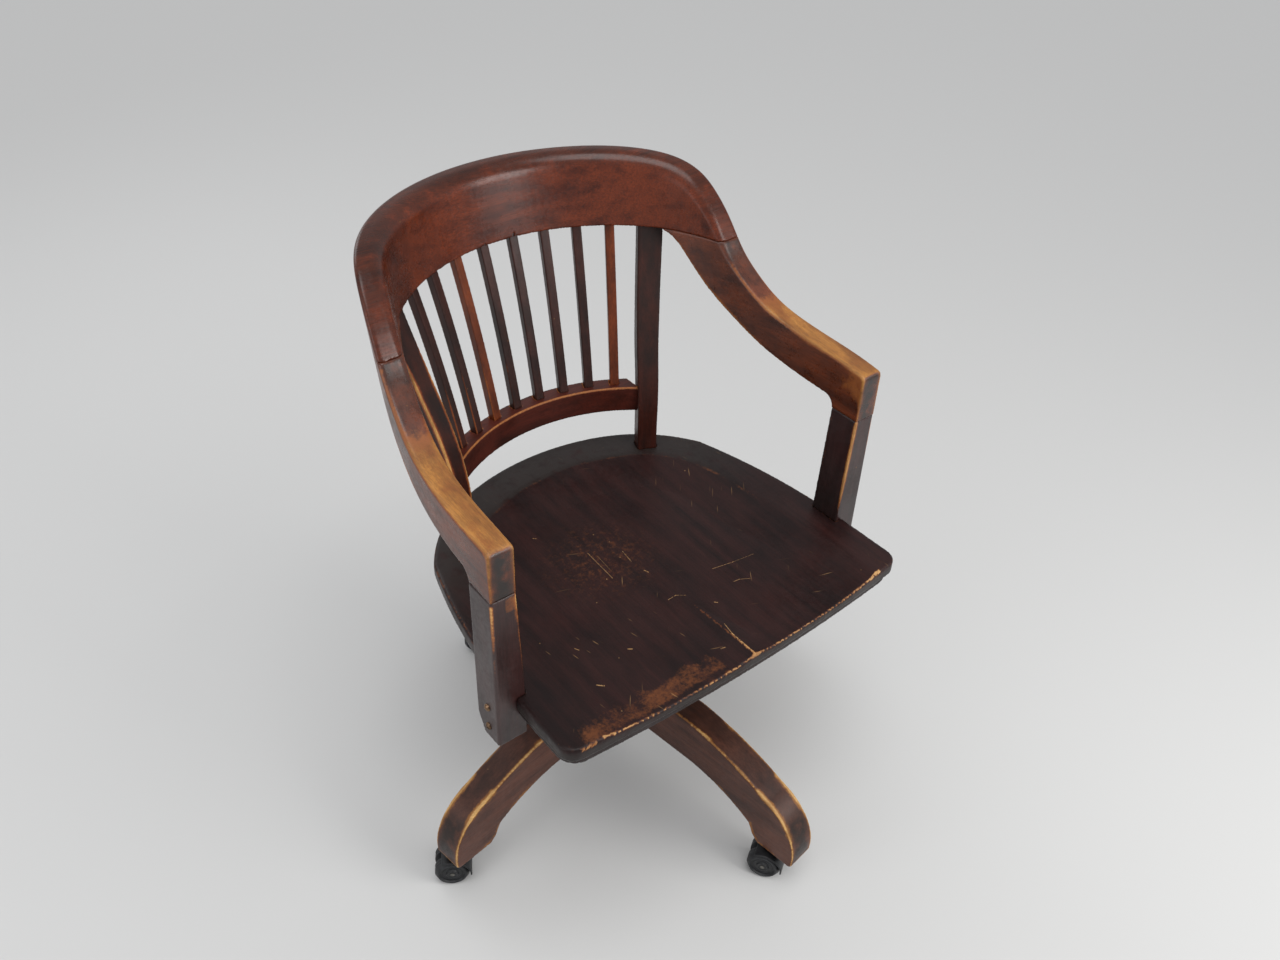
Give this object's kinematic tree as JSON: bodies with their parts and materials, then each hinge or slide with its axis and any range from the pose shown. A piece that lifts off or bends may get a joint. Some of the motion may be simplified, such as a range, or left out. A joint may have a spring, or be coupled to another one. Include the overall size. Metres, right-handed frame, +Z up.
{
  "type": "swivel desk chair",
  "caption": "Wooden armchair with a bowed slatted back and dished seat, tilting and turning on a height-adjustable four-legged castor base.",
  "frame": {"origin": "on the floor, under the middle of the four legs, on the swivel axis", "axes": "+Z up, -Y towards the front of the seat as it stands in the picture, X across the chair with +X at the left hand of a person sitting in it"},
  "size_m": [0.7126, 0.6923, 0.8472],
  "materials": {
    "seat_wood": "worn dark shellac over red-brown hardwood",
    "frame_wood": "dark stained hardwood",
    "arm_wood": "dark shellac worn to golden wood on top",
    "back_wood": "dark red-brown shellac",
    "post_wood": "dark shellac with worn edges",
    "leg_wood": "red-brown shellac with worn golden edges",
    "bronzed_screws": "dark bronzed round heads",
    "dark_iron": "black painted iron",
    "dull_steel": "dull oiled steel",
    "spring_steel": "dark oiled spring steel",
    "stop_rubber": "black rubber",
    "castor_black": "black moulded plastic",
    "castor_tread": "dark grey-black moulded plastic"
  },
  "bodies": {
    "base": {"base_hub": "leg_wood", "leg_left": "leg_wood", "leg_right": "leg_wood", "leg_front": "leg_wood", "leg_rear": "leg_wood", "spindle_sleeve": "dull_steel", "sleeve_screws": "dull_steel", "thrust_washer": "dull_steel", "castor_sockets": "dull_steel"},
    "height_nut": {"height_nut": "dark_iron"},
    "spindle": {"height_spindle": "dull_steel", "spindle_cap": "dull_steel"},
    "yoke": {"tilt_yoke": "dark_iron", "pivot_rod": "dull_steel", "stop_pads": "stop_rubber", "tension_spring": "spring_steel"},
    "seat": {"seat": "seat_wood", "seat_frame": "frame_wood", "seat_iron_left": "dark_iron", "seat_iron_right": "dark_iron", "seat_iron_screws": "dull_steel", "spring_bar": "dark_iron", "spring_bar_bolts": "dull_steel", "front_post_left": "post_wood", "front_post_right": "post_wood", "front_post_screws": "bronzed_screws", "post_cleats": "frame_wood", "arm_left": "arm_wood", "arm_right": "arm_wood", "back_post_left": "back_wood", "back_post_right": "back_wood", "lower_back_rail": "back_wood", "crest_rail": "back_wood", "back_slat_1": "back_wood", "back_slat_2": "back_wood", "back_slat_3": "back_wood", "back_slat_4": "back_wood", "back_slat_5": "back_wood", "back_slat_6": "back_wood", "back_slat_7": "back_wood", "back_slat_8": "back_wood"},
    "tension_bolt": {"tension_bolt": "dull_steel", "spring_washer": "dull_steel"},
    "tension_knob": {"tension_knob": "dark_iron"},
    "castor_right": {"castor_hood_right": "castor_black", "castor_stem_right": "dull_steel", "castor_axle_right": "dull_steel"},
    "wheels_right": {"castor_wheels_right": "castor_tread"},
    "castor_rear": {"castor_hood_rear": "castor_black", "castor_stem_rear": "dull_steel", "castor_axle_rear": "dull_steel"},
    "wheels_rear": {"castor_wheels_rear": "castor_tread"},
    "castor_left": {"castor_hood_left": "castor_black", "castor_stem_left": "dull_steel", "castor_axle_left": "dull_steel"},
    "wheels_left": {"castor_wheels_left": "castor_tread"},
    "castor_front": {"castor_hood_front": "castor_black", "castor_stem_front": "dull_steel", "castor_axle_front": "dull_steel"},
    "wheels_front": {"castor_wheels_front": "castor_tread"}
  },
  "joints": [
    {"name": "height_nut_turn", "type": "hinge", "parent": "base", "child": "height_nut", "pos_m": [0, 0, 0.223], "axis": [0, 0, -1], "range_deg": [0, 4320]},
    {"name": "height_travel", "type": "slide", "parent": "base", "child": "spindle", "axis": [0, 0, 1], "range_m": [0, 0.072]},
    {"name": "seat_swivel", "type": "hinge", "parent": "spindle", "child": "yoke", "pos_m": [0, 0, 0.29], "axis": [0, 0, 1], "continuous": true},
    {"name": "seat_tilt", "type": "hinge", "parent": "yoke", "child": "seat", "pos_m": [0, 0.01, 0.372], "axis": [-1, 0, 0], "range_deg": [0, 15], "stiffness_Nm_per_rad": 300, "springref_deg": -8.59, "deforming": ["tension_spring"]},
    {"name": "tension_trunnion", "type": "hinge", "parent": "seat", "child": "tension_bolt", "pos_m": [0, -0.11, 0.353], "axis": [-1, 0, 0], "range_deg": [-15, 0]},
    {"name": "tension_knob_turn", "type": "hinge", "parent": "tension_bolt", "child": "tension_knob", "pos_m": [0, -0.11, 0.236], "axis": [0, 0, 1], "range_deg": [0, 720]},
    {"name": "castor_swivel_right", "type": "hinge", "parent": "base", "child": "castor_right", "pos_m": [0.3101, 0.04253, 0.05], "axis": [0, 0, 1], "continuous": true},
    {"name": "castor_roll_right", "type": "hinge", "parent": "castor_right", "child": "wheels_right", "pos_m": [0.32706, 0.05313, 0.024], "axis": [-0.5299, 0.848, 0], "continuous": true},
    {"name": "castor_swivel_rear", "type": "hinge", "parent": "base", "child": "castor_rear", "pos_m": [-0.04253, 0.3101, 0.05], "axis": [0, 0, 1], "continuous": true},
    {"name": "castor_roll_rear", "type": "hinge", "parent": "castor_rear", "child": "wheels_rear", "pos_m": [-0.05985, 0.3201, 0.024], "axis": [-0.5, -0.866, 0], "continuous": true},
    {"name": "castor_swivel_left", "type": "hinge", "parent": "base", "child": "castor_left", "pos_m": [-0.3101, -0.04253, 0.05], "axis": [0, 0, 1], "continuous": true},
    {"name": "castor_roll_left", "type": "hinge", "parent": "castor_left", "child": "wheels_left", "pos_m": [-0.32706, -0.03193, 0.024], "axis": [-0.5299, -0.848, 0], "continuous": true},
    {"name": "castor_swivel_front", "type": "hinge", "parent": "base", "child": "castor_front", "pos_m": [0.04253, -0.3101, 0.05], "axis": [0, 0, 1], "continuous": true},
    {"name": "castor_roll_front", "type": "hinge", "parent": "castor_front", "child": "wheels_front", "pos_m": [0.03193, -0.29314, 0.024], "axis": [-0.848, -0.5299, 0], "continuous": true}
  ],
  "couplings": [
    {"joint": "height_travel", "follows": "height_nut_turn", "m_per_rad": 0.00095493},
    {"joint": "tension_trunnion", "follows": "seat_tilt", "ratio": -1}
  ]
}
